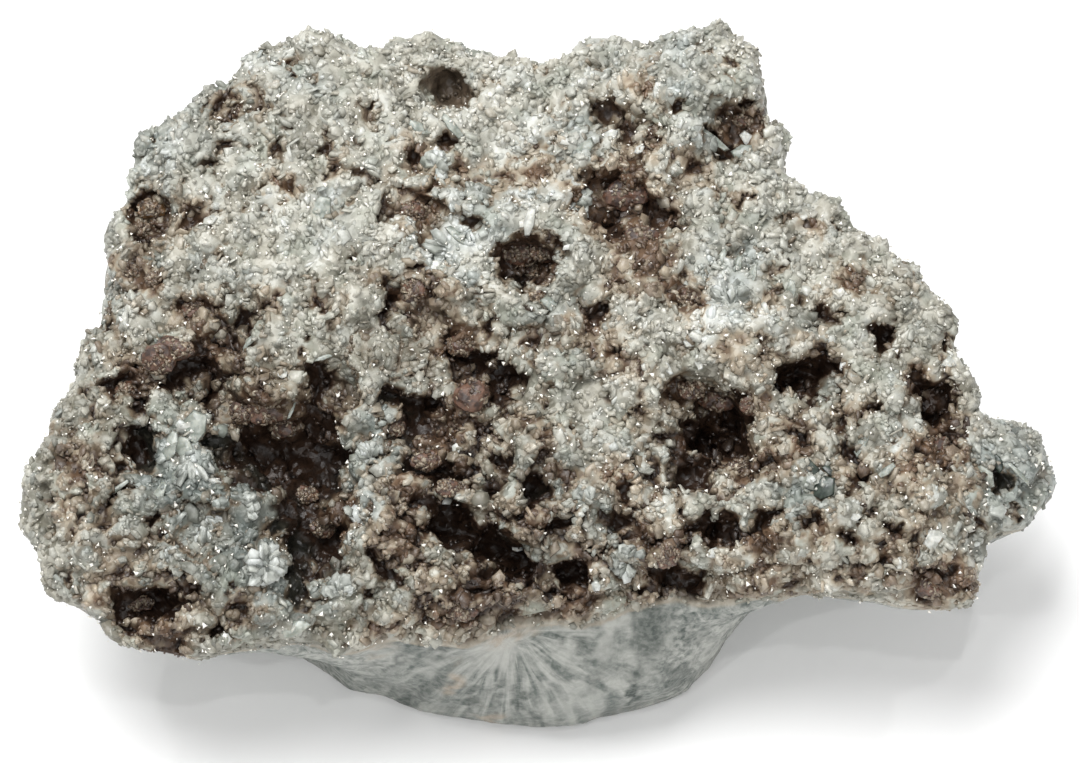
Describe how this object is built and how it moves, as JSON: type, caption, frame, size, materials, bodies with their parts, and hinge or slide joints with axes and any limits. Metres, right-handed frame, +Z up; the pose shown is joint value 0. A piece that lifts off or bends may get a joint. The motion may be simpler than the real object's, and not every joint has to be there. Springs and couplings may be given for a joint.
{
  "type": "seraphinite specimen",
  "caption": "Rough natural stone with a pitted crust of crystals on top and a dense body under it, resting on a flat foot.",
  "frame": {"origin": "centre of the stone's bounding box, on the flat foot that it rests on", "axes": "+X along the stone's length, -Y towards the side where the dense body shows under the crust, +Z up out of the crusted face"},
  "size_m": [0.0866, 0.0554, 0.0315],
  "materials": {
    "seraphinite_stone": "rough, scaly and pearly"
  },
  "bodies": {
    "root": {"seraphinite": "seraphinite_stone"}
  },
  "joints": []
}
